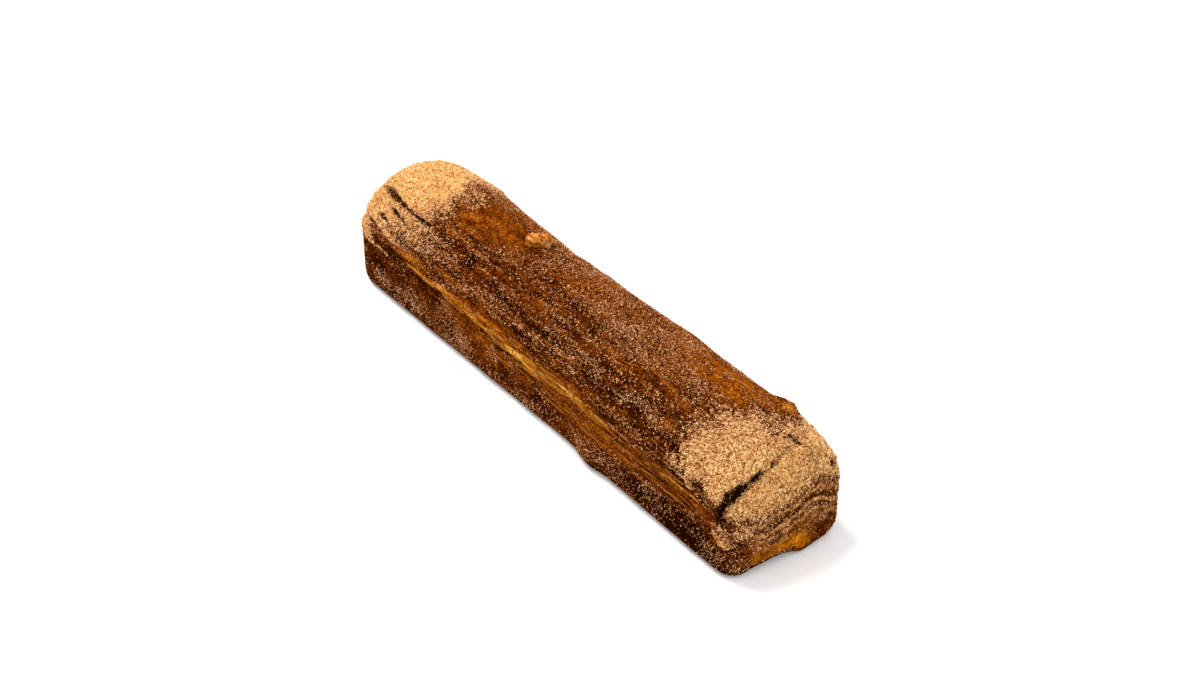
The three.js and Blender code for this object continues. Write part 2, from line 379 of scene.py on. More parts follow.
def below_nose_edge(skin):
    """How far below the top edge of the nose's layers a point lies, in mm."""
    corner = NOSE.corner_curve * np.maximum(0, NOSE.corner_at - skin.y) ** 2
    front = NOSE.top - NOSE.climb * (NOSE.roll_y - skin.y) + corner - skin.z
    back = NOSE.top - NOSE.roll_z - np.hypot(skin.y - NOSE.roll_y, skin.z - NOSE.roll_z)
    return np.where(skin.y < NOSE.roll_y, front, back) + skin.rough(*NOSE.edge)


def nose_mask(skin):
    """1 where the near end's layers show, in front of the crack."""
    below = skin.below_edge
    rolled = rising(skin.y, 2, 9) * fading(skin.z, 8, 17)
    lower = rising(below, 2, 5)
    start, full = (high + (low - high) * lower for high, low in zip(NOSE.front, NOSE.front_lower))
    return (rising(skin.x, *NOSE.along) * band(below, *NOSE.shown) * rising(skin.y, start, full)
            * (1 - 0.55 * rolled))


def nose_level(skin):
    """Count of the nose's layers from the top edge down, unevenly spaced."""
    return skin.below_edge / NOSE.spacing + skin.rough(*NOSE.wander)


def crack_depth(skin):
    """Distance behind the near crack, and how far it is open: a wedge that ends in dots over the crown."""
    behind = CRACK.at - CRACK.bend * (skin.y - CRACK.ridge) ** 2 - skin.x + skin.rough(*CRACK.edge)
    closing = rising(skin.turn, CRACK.narrow_from - 7, CRACK.narrow_from + 3)
    foot = fading(skin.turn, CRACK.shoulder, CRACK.shoulder + 16)
    widest = bump(skin.turn - CRACK.widest, 22)
    half_width = CRACK.width * (CRACK_WIDTHS.least + CRACK_WIDTHS.open * (1 - closing)
                                + CRACK_WIDTHS.foot * foot + CRACK_WIDTHS.widest * widest)
    dotted = rising(skin.lumps(2.4, 34), -0.2, 0.05)
    open_part = band(skin.turn, 0, CRACK.shoulder, CRACK.ends_at - 30, CRACK.ends_at)
    return behind, open_part * cleft(behind, half_width) * (1 - closing * (1 - dotted))


def hollow_depth(skin):
    """The hollow where the crack runs out over the front shoulder, 0 to 1, also painted dark as painted
    shade.
    """
    return bump(skin.away(*HOLLOW.place) + skin.rough(HOLLOW.edge), 1) * (skin.x > HOLLOW.start)


def split_depths(skin):
    """How far the splits are open, 0 to 1 each, with their depths."""
    ragged = skin.rough(*SPLIT_EDGE)
    found = []
    for split in SPLITS:
        (x0, turn0), (x1, turn1) = split.start, split.end
        t = np.clip((skin.x - x0) / (x1 - x0), 0, 1)
        middle = turn0 + (turn1 - turn0) * t + split.sag * 4 * t * (1 - t)
        taper = (0.3 + 0.7 * rising(t, 0, 0.16)) * (1 - split.fade * rising(t, 0.16, 0.6))
        along = band(skin.x, x0 - 1.5, x0 + 1, x1 - 3, x1 + 1)
        away = skin.turn - middle + ragged
        half_width = split.width * taper + 0.3
        # The soft slope on each split's lower side also takes painted shade.
        slope = 0.35 * bump(away, 2.6 * half_width) * (away < 0)
        found.append((along * np.maximum(cleft(away, half_width), slope), split.depth))
    return found


def notch_depth(skin):
    """The small notch at the back end of the crack, 0 to 1."""
    across = np.hypot(skin.x - BACK_NOTCH.x, 0.9 * (skin.y - BACK_NOTCH.y))
    away = np.hypot(across, 0.75 * (skin.z - BACK_NOTCH.z)) + 0.8 * skin.lumps(2, 53)
    return bump(away, BACK_NOTCH.reach)


def nose_pit(skin):
    """The small pit at the near end's front corner, 0 to 1, also painted dark as painted shade."""
    away = np.hypot(skin.y - NOSE_PIT.y, skin.z - NOSE_PIT.z) + 0.8 * skin.lumps(2, 54)
    return bump(away, NOSE_PIT.reach) * (skin.x > NOSE_PIT.x)


def pit_distance(skin, x, turn, ragged=0):
    """Distance from the middle of a small pit in the crown, in mm."""
    return np.hypot((skin.x - x) / 1.7, (skin.turn - turn) * 0.45 + ragged)


def chips(skin):
    """1 on the ragged chips of the near corner."""
    ragged = skin.rough(*CHIP.edge)
    return np.maximum(*(fading(skin.away(*chip) + ragged, 0.8, 1.0) for chip in CHIPS)) * (skin.y < 0)


def gold_line(skin):
    """Level of the golden fold along the front shoulder, and its half width, in mm below the shoulder."""
    wander = 0.8 * lumps(skin.x, 0 * skin.y, 0 * skin.z, 8, 55)
    middle = FOLD.level + steps(skin.x, FOLD.steps) + wander
    return middle, FOLD.half_width + FOLD.wider * band(skin.x, *FOLD.wider_band)


def gold_mask(skin):
    """How golden the fold is: over 1 at its brightest places."""
    middle, half = gold_line(skin)
    dull = 1 - FOLD.dull * rising(skin.x, FOLD.dull_from, FOLD.dull_to)
    fold = bump(-skin.turn - middle, half * 1.5) * band(skin.x, *FOLD.gold_band)
    return patches(skin, GOLD_PATCHES) + fold * dull * (skin.y < 0)


def streaks(skin):
    """Where the crust is drawn into fine lengthwise ridges."""
    over = band(skin.turn, *RIDGES.front) + band(skin.turn, *RIDGES.back) * RIDGES.back_share
    return over * rising(CRACK.at - skin.x, 2, 14) * rising(skin.x, -92, -66)


def creases(skin):
    """Narrow lengthwise creases between the drawn ridges, 0 to 1."""
    wide = fading(np.abs(skin.lumps(4.2, 11, 14)), 0.02, 0.16)
    fine = fading(np.abs(skin.lumps(2, 13, 18)), 0.02, 0.2)
    return streaks(skin) * np.maximum(wide, 0.6 * fine)


# ---------------------------------------------------------------- relief (mm above the smooth bar)
def pleat_relief(skin):
    clear = (rising(skin.x + HALF_LENGTH, 0, FAR_END["front"])
             * rising(CRACK.at - skin.x, 0, NEAR_END["front"]))
    ledge = (SHOULDER_LEDGE.height * bump(skin.turn, SHOULDER_LEDGE.angle)
             - SHOULDER_LEDGE.groove * bump(skin.turn - SHOULDER_LEDGE.angle, SHOULDER_LEDGE.angle))
    fold = np.cos(2 * math.pi * (skin.turn + skin.x / PLEAT.drift) / PLEAT.angle + skin.lumps(22, 5))
    pleats = PLEAT.height * fold * fading(skin.turn, PLEAT.angle, PLEAT.last_angle)
    return clear * skin.dome * (ledge + pleats)


def flap_relief(skin):
    """A torn amber flap that stands up along the back, with a ragged edge."""
    return BACK_FLAP.height * (1 + skin.rough(*BACK_FLAP.edge)) * skin.spot(*BACK_FLAP.spot)


def layer_relief(skin):
    """The edges of the nose's layers, as ridges with sharp grooves between them."""
    level = nose_level(skin)
    rise = level - np.floor(level)
    ridge = np.minimum(rise / 0.75, (1 - rise) / 0.25)
    broken = 0.2 + 0.8 * rising(skin.lumps(5, 63), -0.45, 0.3)
    return nose_mask(skin) * (np.sqrt(ridge) - 0.6) * NOSE.height * broken


def crack_relief(skin):
    """The crack with its hollow and the lip behind it, and the nose puffed up or sunk in front of it."""
    behind, crack = crack_depth(skin)
    on_top = band(skin.turn, 2, 16, CRACK.ends_at - 28, CRACK.ends_at + 12)
    lip = CRACK.lip * bump(behind, CRACK.lip_reach) * (behind > 0) * on_top
    puffed = band(skin.turn, *NOSE.puffed)
    puff = puffed * (NOSE.puff * band(-behind, 0, 2.6, 2.6, 7) - NOSE.groove * bump(behind, 2.2))
    sunk = NOSE.sink * on_top * (1 - puffed) * band(-behind, 0, 1.5, 2, 8)
    return lip + puff - sunk - CRACK.depth * crack - HOLLOW.depth * hollow_depth(skin)


def fold_relief(skin):
    """The golden fold with the groove under it, and the chips at its near end."""
    middle, half = gold_line(skin)
    groove = FOLD.groove * bump(-skin.turn - middle - half - 1.8, 2.2)
    fold = bump(-skin.turn - middle, half + 0.8) - groove
    fold = FOLD.height * fold * (skin.y < 0) * band(skin.x, *FOLD.band)
    return fold + CHIP.height * chips(skin)


def far_edge_relief(skin):
    at_front = rising(-skin.y / np.maximum(front_half_width(skin.x), 1), 0.5, 1)
    edge = bump(skin.turn - FAR_EDGE.ledge_turn, 12) - bump(skin.turn - FAR_EDGE.groove_turn, 16)
    return FAR_EDGE.height * edge * at_front * fading(skin.x, FAR_EDGE.start, FAR_EDGE.end)


def dents(skin):
    """Depth of the splits, the pits, the notch and the shallow hollow beside the flap."""
    splits = sum(depth * part for part, depth in split_depths(skin))
    ragged = skin.lumps(2, 17)
    pits = sum(depth * bump(pit_distance(skin, x, turn, ragged), radius) for x, turn, radius, depth in PITS)
    return (splits + pits * skin.dome + BACK_NOTCH.depth * notch_depth(skin)
            + NOSE_PIT.depth * nose_pit(skin) + BACK_HOLLOW.depth * skin.spot(*BACK_HOLLOW.spot))


def crust_relief(skin):
    """Height of the crust above the smooth bar."""
    powder = powder_coat(skin)[1] * (POWDER_HEIGHT + skin.rough((0.22, 1.1, 73)))
    ridges = RIDGES.height * streaks(skin) * skin.lumps(3, 15, 12) - RIDGES.crease * creases(skin)
    height = (pleat_relief(skin) + flap_relief(skin) + layer_relief(skin) + crack_relief(skin)
              + fold_relief(skin) + far_edge_relief(skin) + skin.rough(*UNEVEN) + powder + ridges)
    return (height - dents(skin) - COAT) * skin.off_table


def lifted_edge(skin):
    """How far the near end's lower edge stands off the table."""
    height = NOSE_GAP.height + skin.rough((0.5, 2.4, 59))
    return (height * rising(skin.x, NOSE_GAP.start, HALF_LENGTH) * band(skin.y, -25, -17, -3, 4)
            * fading(skin.z, 0, 9))


# ---------------------------------------------------------------- where each look lies, 0 to 1
# A patch is a soft-edged oval: x, turn, reach along, reach round, change.
TONE_PATCHES = [    # darker (-) or more amber (+)
    # crown
    (-52, 96, 30, 22, 0.1), (-50, 62, 24, 14, 0.04), (-5, 53, 8, 4, 0.26), (50, 41, 32, 6, -0.14),
    (82, 96, 14, 12, 0.12), (62, 128, 40, 22, 0.08), (94, 102, 8, 14, -0.16), (34, 32, 10, 6, -0.12),
    (56, 31, 14, 8, -0.2), (-24, 33, 10, 6, -0.1), (-36, 96, 14, 12, -0.12), (32, 28, 6, 6, -0.1),
    (76, 32, 7, 12, 0.14), (-36, 104, 12, 12, -0.14), (72, 116, 34, 30, 0.05), (76, 40, 5, 6, 0.16),
    (-72, 66, 3, 4, -0.2), (-47.5, 43.5, 3, 6, -0.24), (-57, 43, 9, 10, -0.14), (-63, 78, 9, 10, 0.12),
    (-65, 56, 6, 8, -0.08), (-52, 78, 12, 12, 0.05), (-60, 180, 50, 26, 0.1),
    # flap
    (88, 142, 11, 24, 0.08), (92.5, 138, 3.4, 9, 0.42), (85, 146, 6, 14, -0.12), (84, 134, 9, 12, -0.12),
    # front shoulder
    (-22, 1, 9, 5, 0.16), (-80, 6, 18, 6, 0.3), (-16, 2, 16, 9, 0.24), (84, -5, 30, 6, 0.08),
    (-48, 4, 24, 6, 0.12), (-96, 9, 9, 4, 0.1), (30, 2, 14, 6, 0.1), (-34, 16, 9, 8, -0.16),
    (-60, -6, 8, 9, -0.12), (12, 6, 16, 6, -0.14), (72, 18, 14, 12, -0.08), (-62, 2, 10, 5, -0.16),
    (-78, 6, 8, 5, 0.16), (-24, 2, 8, 4, 0.12), (-14, -6, 10, 4, -0.12), (-74, 4, 8, 4, 0.2),
    (101, -2, 6, 4, 0.14), (-42, -3, 5, 3, -0.12), (-14, -6, 12, 3, -0.1), (40, 18, 6, 5, 0.14),
    (-90, 0, 6, 3, -0.16), (-69, -7, 4, 3, -0.26),
    # front side
    (-98, -10, 14, 9, -0.2), (-40, -10, 24, 14, 0.07), (12, -12, 26, 8, 0.05), (44, -9, 22, 5, 0.14),
    (88, -17, 44, 8, -0.27), (118, -10, 6, 10, -0.2), (104, -16, 12, 9, -0.2), (12, -16, 12, 5, -0.12),
    (-24, -18, 10, 5, 0.12), (50, -15, 12, 5, -0.12), (90, -17, 12, 6, -0.12), (-88, -8, 26, 12, -0.08),
    (94, -16, 8, 6, -0.1), (-58, -10, 9, 5, -0.12), (-50, -15, 8, 5, -0.12), (30, -10, 6, 8, -0.1),
    (70, -15, 8, 5, -0.14), (-90, -12, 10, 7, 0.12), (-98, -12.5, 4, 4, -0.26), (5, -15, 10, 5, -0.12),
    (-78, -17, 16, 6, -0.06)]
SUGAR_PATCHES = [    # less sugar (-) or more (+)
    # crown
    (-66, 30, 20, 18, 0.12), (-26, 24, 22, 12, 0.14), (18, 34, 26, 14, 0.12), (40, 78, 36, 26, 0.12),
    (78, 96, 12, 12, -0.12), (64, 30, 18, 20, 0.1), (-50, 94, 26, 20, -0.24), (86, 140, 14, 20, -0.1),
    (74, 118, 30, 30, -0.08), (-84, 80, 12, 22, -0.06), (60, 28, 8, 6, -0.16), (30, 28, 8, 6, -0.16),
    (88, 132, 12, 22, 0.12), (-34, 14, 8, 8, -0.12), (-5, 18, 10, 5, -0.1), (72, 20, 8, 12, -0.1),
    (60, 28, 7, 5, -0.1), (-45, 64, 8, 8, -0.08), (-54, 74, 15, 14, -0.14),
    # front shoulder and side
    (-76, -17, 13, 5, 0.16), (-40, -17, 7, 4, 0.2), (-22, -12, 5, 4, 0.2), (44, -17, 18, 5, 0.12),
    (88, -14, 34, 6, 0.1), (72, 4, 20, 6, 0.1), (-2, 6, 50, 6, -0.12), (112, -4, 5, 3, 0.6),
    (118, -14, 4, 12, 0.2), (97, -16, 11, 6, -0.14), (-96, -18, 8, 6, 0.12)]
POWDER_PATCHES = [    # less powder (-) or more (+)
    # far end
    (-70, 94, 9, 20, 0.3), (-92, 28, 18, 16, -0.14), (-76, 57, 7, 9, -0.15), (-98, 18, 7, 6, -0.22),
    (-85, 10, 9, 5, 0.28), (-81, 28, 6, 6, 0.14), (-89, 44, 8, 7, -0.2), (-75, 42, 6, 7, 0.2),
    (-98, 4, 4, 3, -0.2), (-107, 0, 5, 3, 0.2),
    # near end
    (103, 104, 7, 16, -0.26), (99, 25, 2, 2.6, -0.34), (92.5, 138, 4.5, 9, -0.4), (90, 6, 5, 4, 0.2),
    (94, 128, 12, 20, -0.32), (82, 34, 5, 10, -0.12), (93, 6, 6, 6, 0.36), (100, 17, 4, 5, -0.16),
    (87, 38, 5, 9, -0.14), (94, 88, 4, 7, -0.2)]
POWDER_FLAKES = [(-98, -5, 10.5, 1, 0.56), (97, 2, 8, 3.4, 0.2)]                       # powdered flakes
# Patches of powder rubbed thin, and of painted shade on the nose.
WEAR_AND_SHADE_PATCHES = [(104, 118, 9, 24, 0.6), (112, 26, 3, 9, 0.45), (106, 88, 4, 12, 0.2)]  # powder rubbed thin
# The golden fold's brightest places, where a painted highlight is speckled on its ridge.
GOLD_PATCHES = [(27, -1.8, 9, 2.4, 0.9), (8, -3.4, 7, 1.6, 0.2), (-8, -4, 8, 2, 0.4),
                (-62, -1.5, 14, 1.6, 0.3)]                                             # brightest gold

# Changes of the crust's tone from its base, and of the density of its sugar.
# The darkening under the golden fold is painted shade.
TONE = Sizes(base=0.305, side=0.05, foot=-0.2, above_fold=-0.12, back=0.05, stains=(0.16, 9, 81, 2.2),
             drawn=0.26, flap=(0.3, 2.2, 87), ridges=(0.1, 3.4, 85, 12), crease=-0.1, pit=-0.3,
             under_fold=-0.14, powder=-0.22, rim=-0.2)
SUGAR = Sizes(dome=0.1, clusters=0.13, foot=0.05, gold=-0.8, crease=-0.6, drawn=1.2, powder=0.12, most=0.75)

# Powder over the two ends: its edge along X and how softly it thins out there, which both change with the
# turn in steps of (height, from, to); how ragged the edge is over the back, and where it ends there.
# The far end's powder trails off towards the middle; the near end's stops above the front shoulder.
FAR_POWDER = Sizes(edge=-74.5, ragged=6, soft=2.6, softer=[(7, 84, 60), (4, 100, 120)], side=-1,
                   steps=[(-9, 38, 16), (-7, 58, 38), (2.5, 46, 62), (-2.5, 62, 78), (-4, 88, 100)],
                   back_end=(178, 194), trail=0.32, trail_along=(-54, -86), trail_round=(12, 22, 32, 58))
NEAR_POWDER = Sizes(edge=91, ragged=5, soft=14, softer=[(5, 0, 36), (-5, 36, 72)], side=1,
                    steps=[(-3.5, 22, 42), (3.5, 42, 62), (6.5, 64, 98)], back_end=(176, 192),
                    front_end=4, front_steps=[(9, 90, 100), (-21, 109.5, 112.5)], front_soft=16)
POWDER_CORNER = Sizes(along=(114, 117.5), across=(-20, -14), upper=(14, 20))    # near end's front corner
POWDER_GRIT = [(0.5, 0.95, 72), (0.25, 5, 71)]


def patches(skin, places):
    """Sum of soft-edged oval patches, each at a place along the bar and round it."""
    return sum(change * fading(skin.away(*place), 0.35, 1.15) for *place, change in places)


def powder_beyond(skin, powder):
    """1 where powder hides the crust beyond its edge towards an end."""
    ragged = powder.ragged * skin.lumps(13, 76) * rising(skin.turn, 100, 120)
    edge = powder.edge + steps(skin.turn, powder.steps) + ragged
    soft = powder.soft + steps(skin.turn, powder.softer)
    return rising(powder.side * (skin.x - edge) / soft, -1, 1)


def powder_to_back(skin, powder):
    """1 down to where the powder ends on the back."""
    return fading(skin.turn + 7 * skin.lumps(9, 77), *powder.back_end)


def far_powder(skin):
    """Share of the crust that powder hides on the far end."""
    solid = powder_beyond(skin, FAR_POWDER)
    trail = (FAR_POWDER.trail * rising(skin.x, *FAR_POWDER.trail_along)
             * band(skin.turn, *FAR_POWDER.trail_round))
    groove = np.maximum(6.5 - 0.45 * (skin.x + 88), -0.5)    # bare, from the far corner down to the fold
    above_groove = rising(skin.turn - groove, -2.5, 4.5)
    corner = 0.92 * fading(skin.x, -110, -98) * rising(skin.turn, -8, -1)
    covered = np.maximum(np.maximum(solid, trail) * above_groove, solid * corner)
    return covered * powder_to_back(skin, FAR_POWDER)


def near_powder(skin):
    """Share of the crust that powder hides behind the near crack and on the nose."""
    lowest = NEAR_POWDER.front_end + steps(skin.x, NEAR_POWDER.front_steps)
    return (powder_beyond(skin, NEAR_POWDER) * powder_to_back(skin, NEAR_POWDER)
            * rising(skin.turn, lowest, lowest + NEAR_POWDER.front_soft))


def powder_coat(skin):
    """Share of the crust under powder, and its thickness, 0 to 1: broken into clumps where it thins out."""
    share = np.maximum(far_powder(skin), near_powder(skin)) + patches(skin, POWDER_PATCHES)
    share = share * (1 - rising(skin.below_edge, -1.8, 2.6) * skin.before_crack)
    end_corner = (rising(skin.x, *POWDER_CORNER.along) * fading(skin.y, *POWDER_CORNER.across)
                  * rising(skin.z, 3, 6) * (0.04 + 0.5 * rising(skin.z, *POWDER_CORNER.upper)))
    share = np.clip(np.maximum(share, end_corner) + patches(skin, POWDER_FLAKES), 0, 1)
    share = np.maximum(share, chips(skin))
    grit = 0.5 + skin.rough(*POWDER_GRIT)
    return share, rising(share * 1.22 - grit, -0.42, 0.42) * rising(share, 0.02, 0.14)


def wear_and_shade_mask(skin):
    """Powder rubbed thin and brown over the nose and behind the crack's end, with painted shade on the
    nose.
    """
    nose = rising(skin.below_edge, -5.5, 0) * skin.before_crack
    # The painted shade deepens towards the back of the nose, which faces away from the light.
    return np.clip(nose * (0.45 + 0.3 * rising(skin.y, -16, 6)) + patches(skin, WEAR_AND_SHADE_PATCHES), 0, 1)


def fine_powder_and_highlight_mask(skin):
    """Fine pale powder on the far end and the chips, and a painted highlight on the crack's puffed edge."""
    # Painted highlight along the puffed edge in front of the crack.
    puffed = band(skin.turn, 44, 66, 108, 130) * bump(crack_depth(skin)[0] + 3.4, 4.6)
    return fading(skin.x, -70, -30) + 0.85 * np.maximum(puffed, chips(skin))


def painted_shade_mask(skin):
    """Near-black painted shade, 0 to 1, inside the crack, its hollow, the splits, the notch and the pit."""
    crack = np.maximum(crack_depth(skin)[1], HOLLOW.char * hollow_depth(skin))
    closed = rising(skin.turn, CRACK.narrow_from - 2, CRACK.narrow_from + 4)
    splits = sum(part for part, _ in split_depths(skin))
    return np.clip(crack * (CRACK.char - 0.2 * closed) + splits * SPLIT_SHADE
                   + NOSE_PIT.char * nose_pit(skin) + notch_depth(skin), 0, 1)


def core_masks(skin):
    """The golden core under the nose's layers, and the dark rim round it: brown crust and painted shade."""
    below = skin.below_edge
    top = NOSE_CORE.top + steps(skin.y, NOSE_CORE.steps)
    y, z, across, up = NOSE_CORE.bright
    bright = 0.4 + 0.85 * bump(np.hypot((skin.y - y) / across, (skin.z - z) / up), 1)
    core = (rising(skin.x, *NOSE_CORE.along) * fading(skin.y, *NOSE_CORE.back) * bright
            * rising(below + skin.rough(NOSE_CORE.top_edge), top, top + NOSE_CORE.soft)
            * rising(skin.y + skin.rough(NOSE_CORE.front_edge), *NOSE_CORE.front)
            * rising(skin.z + skin.rough(NOSE_CORE.foot_edge), *NOSE_CORE.foot))
    back = rising(skin.y, *NOSE_RIM_AND_SHADE.back) * rising(below + skin.rough(NOSE_RIM_AND_SHADE.edge), *NOSE_RIM_AND_SHADE.below)
    rim = rising(skin.x, *NOSE_RIM_AND_SHADE.along) * np.maximum(fading(skin.z, *NOSE_RIM_AND_SHADE.foot), 0.5 * back)
    return np.clip(core, 0, 1), rim


def drawn_lines(skin):
    """The strongest lengthwise lines, in the middle of the crown's front: swings around 0."""
    return skin.spot(-25, 34, 56, 30) * skin.lumps(2.8, 86, 15)


def tone_mask(skin, share):
    """How the crust is baked, from dark (0) to amber (1)."""
    on_side = rising(skin.side_level, -2, 2)
    tone = (TONE.base + TONE.side * on_side + TONE.foot * rising(skin.side_level, 9, 20)
            + patches(skin, TONE_PATCHES) + TONE.above_fold * bump(skin.turn - 30, 24)
            + TONE.back * rising(skin.turn, 70, 100) * (1 - on_side)
            + skin.rough(TONE.stains) + TONE.drawn * drawn_lines(skin)
            + skin.rough(TONE.ridges) * streaks(skin) + TONE.crease * creases(skin))
    tone = tone + skin.spot(*BACK_FLAP.spot[:2], 12, 26) * skin.rough(TONE.flap)
    for x, turn, radius, _ in PITS:
        tone = tone + TONE.pit * bump(pit_distance(skin, x, turn), radius * 1.3)
    # Painted shade under the ledge of the golden fold.
    under_fold = bump(-skin.turn - gold_line(skin)[0] - 3.4, 2.8) * (skin.x < 10) * (skin.x > -96)
    return tone + TONE.under_fold * under_fold + TONE.powder * rising(share, 0.04, 0.4) * (skin.y < 24)


def sugar_mask(skin, share):
    """Density of the sugar on the crust."""
    clusters = rising(skin.lumps(4.5, 83, 2.4), -0.2, 0.6)
    sugar = (SUGAR.dome * fading(skin.side_level, -2, 2) + SUGAR.clusters * clusters
             + patches(skin, SUGAR_PATCHES) + SUGAR.foot * rising(skin.side_level, 12, 18))
    sugar = (sugar * (1 + SUGAR.gold * np.clip(gold_mask(skin), 0, 1)) * (1 + SUGAR.crease * creases(skin))
             * (1 + SUGAR.drawn * drawn_lines(skin)))
    return np.clip(sugar + SUGAR.powder * rising(share, 0.02, 0.3), 0, SUGAR.most)


def masks(skin):
    """The looks' places, by name."""
    nose, char = nose_mask(skin), painted_shade_mask(skin)
    share, powder = powder_coat(skin)
    core, rim = core_masks(skin)
    return {"powder": powder * (1 - char) * (1 - 0.8 * nose), "share": share, "char": char,
            # The rim darkens the tone, partly as painted shade.
            "tone": tone_mask(skin, share) + TONE.rim * rim, "sugar": sugar_mask(skin, share),
            "gold": gold_mask(skin), "core": core * (1 - rim), "level": nose_level(skin),
            "nose": nose * (1 - 0.85 * core), "streak": streaks(skin), "smooth": fine_powder_and_highlight_mask(skin),
            "wear_and_shade": wear_and_shade_mask(skin)}


# ---------------------------------------------------------------- meshes
def to_row(points):
    """From millimetres in the section frame to metres in the row frame."""
    return (points + np.array([0, axis_y, 0])) * MM


def add_object(name, data):
    thing = bpy.data.objects.new(name, data)
    bpy.context.scene.collection.objects.link(thing)
    return thing


def make_object(name, points, faces, corners_uv=None):
    """A smooth mesh object from points in mm; rides with the body."""
    mesh = bpy.data.meshes.new(name)
    mesh.from_pydata(to_row(points), [], faces, shade_flat=False)
    if corners_uv is not None:
        layer = mesh.uv_layers.new(name="OFBake")
        layer.data.foreach_set("uv", corners_uv.astype(np.float32).ravel())
    mesh.validate()
    piece = add_object(name, mesh)
    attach(piece, BODY)
    return piece


def ring_faces(rings, around):
    """Four-sided faces between neighbouring rings, and the ring and column of each of their corners."""
    i, j = np.meshgrid(np.arange(rings - 1), np.arange(around), indexing="ij")
    corner_i = np.stack([i, i + 1, i + 1, i], -1).reshape(-1, 4)
    corner_j = np.stack([j, j, j + 1, j + 1], -1).reshape(-1, 4)
    return corner_i * around + corner_j % around, corner_i, corner_j


def make_crust(skin, folded, values):
    """The whole crust as one closed skin, its rings closed by a small face at each tip."""
    rings, around = skin.x.shape
    faces, corner_i, corner_j = ring_faces(rings, around)
    lengths = np.linalg.norm(np.diff(skin.smooth, axis=0), axis=-1).max(1)
    run = np.concatenate([[0], np.cumsum(lengths)]) / lengths.sum()
    corners_uv = np.stack([run[corner_i], corner_j / around], -1)
    piece = make_object("crust", folded.reshape(-1, 3), faces, corners_uv)
    for name, value in values.items():
        layer = piece.data.attributes.new(name, "FLOAT", "POINT")
        layer.data.foreach_set("value", value.astype(np.float32).ravel())
    close_tips(piece, rings, around)
    piece.data.shade_smooth()
    return piece


def close_tips(piece, rings, around):
    """Fills the last opening at each end with triangles."""
    build = bmesh.new()
    build.from_mesh(piece.data)
    build.verts.ensure_lookup_table()
    for first, flip in ((0, False), ((rings - 1) * around, True)):
        loop = [build.verts[first + k] for k in range(around)]
        build.faces.new(loop[::-1] if flip else loop)
    bmesh.ops.triangulate(build, faces=[f for f in build.faces if len(f.verts) > 4])
    build.to_mesh(piece.data)
    build.free()


# ---------------------------------------------------------------- sugar
def scatter(rng, folded, normals, density, count):
    """`count` random places on the crust, drawn by density, with the outward direction at each."""
    def corners(grid):
        after = np.roll(grid, -1, 1)
        return grid[:-1], grid[1:], after[1:], after[:-1]

    a, b, c, d = corners(folded)
    area = np.linalg.norm(np.cross(c - a, d - b), axis=-1) / 2
    weight = (area * sum(corners(density)) / 4).ravel()
    chosen = rng.choice(len(weight), size=count, p=weight / weight.sum())
    u, v = rng.random((2, count, 1))

    def between(grid):
        a, b, c, d = (part.reshape(-1, 3)[chosen] for part in corners(grid))
        return (a * (1 - u) + b * u) * (1 - v) + (d * (1 - u) + c * u) * v

    return between(folded), between(normals)


def random_turns(rng, count):
    """Rotation matrices of random directions."""
    quaternions = rng.normal(size=(4, count))
    w, x, y, z = quaternions / np.sqrt((quaternions ** 2).sum(0))
    return np.stack([1 - 2 * (y * y + z * z), 2 * (x * y - z * w), 2 * (x * z + y * w),
                     2 * (x * y + z * w), 1 - 2 * (x * x + z * z), 2 * (y * z - x * w),
                     2 * (x * z - y * w), 2 * (y * z + x * w), 1 - 2 * (x * x + y * y)],
                    -1).reshape(-1, 3, 3)


def crystal():
    """Points and triangles of an eight-sided crystal of radius 1."""
    points = [(1, 0, 0), (0, 1, 0), (-1, 0, 0), (0, -1, 0), (0, 0, 1), (0, 0, -1)]
    upper = [(k, (k + 1) % 4, 4) for k in range(4)]
    lower = [((k + 1) % 4, k, 5) for k in range(4)]
    return np.array(points, float), np.array(upper + lower)


def ball(subdivisions=1):
    """Points and triangles of a ball of radius 1, with twenty sides if it isn't subdivided further."""
    build = bmesh.new()
    bmesh.ops.create_icosphere(build, subdivisions=subdivisions, radius=1)
    points = np.array([v.co for v in build.verts])
    faces = np.array([[v.index for v in f.verts] for f in build.faces])
    build.free()
    return points, faces


def make_grains(name, rng, places, normals, kind):
    """Crystals or little balls of uneven size, partly sunk in the crust, as one piece."""
    count = len(places)
    corners, triangles = kind.shape()
    radius = np.minimum(kind.size / 2 * np.exp(kind.spread * rng.normal(size=count)), kind.size)
    grain = corners[None] * rng.uniform(0.75, 1.3, (count, 1, 3)) * radius[:, None, None]
    grain = grain + rng.normal(size=grain.shape) * (0.12 * radius)[:, None, None]
    turned = np.einsum("nij,nvj->nvi", random_turns(rng, count), grain)
    centres = places + normals * (radius * (1 - 2 * kind.sunk))[:, None]
    points = np.clip(centres[:, None] + turned, LOW_CORNER, HIGH_CORNER)
    faces = triangles[None] + len(corners) * np.arange(count)[:, None, None]
    cells = math.ceil(math.sqrt(count))
    cell = np.stack([np.arange(count) % cells, np.arange(count) // cells], -1)[:, None, None]
    corner = np.array([(0.35, 0.35), (0.65, 0.35), (0.5, 0.65)])[None, None]
    corners_uv = np.broadcast_to((cell + corner) / cells, (count, len(triangles), 3, 2))
    return make_object(name, points.reshape(-1, 3), faces.reshape(-1, 3), corners_uv.reshape(-1, 2))


# ---------------------------------------------------------------- flakes and crumbs
SHREDS = Sizes(front=60, back=30, steps=12, length=(5, 24), half_width=(0.14, 0.34), thickness=0.22,
               lift=0.5, drift=0.05)
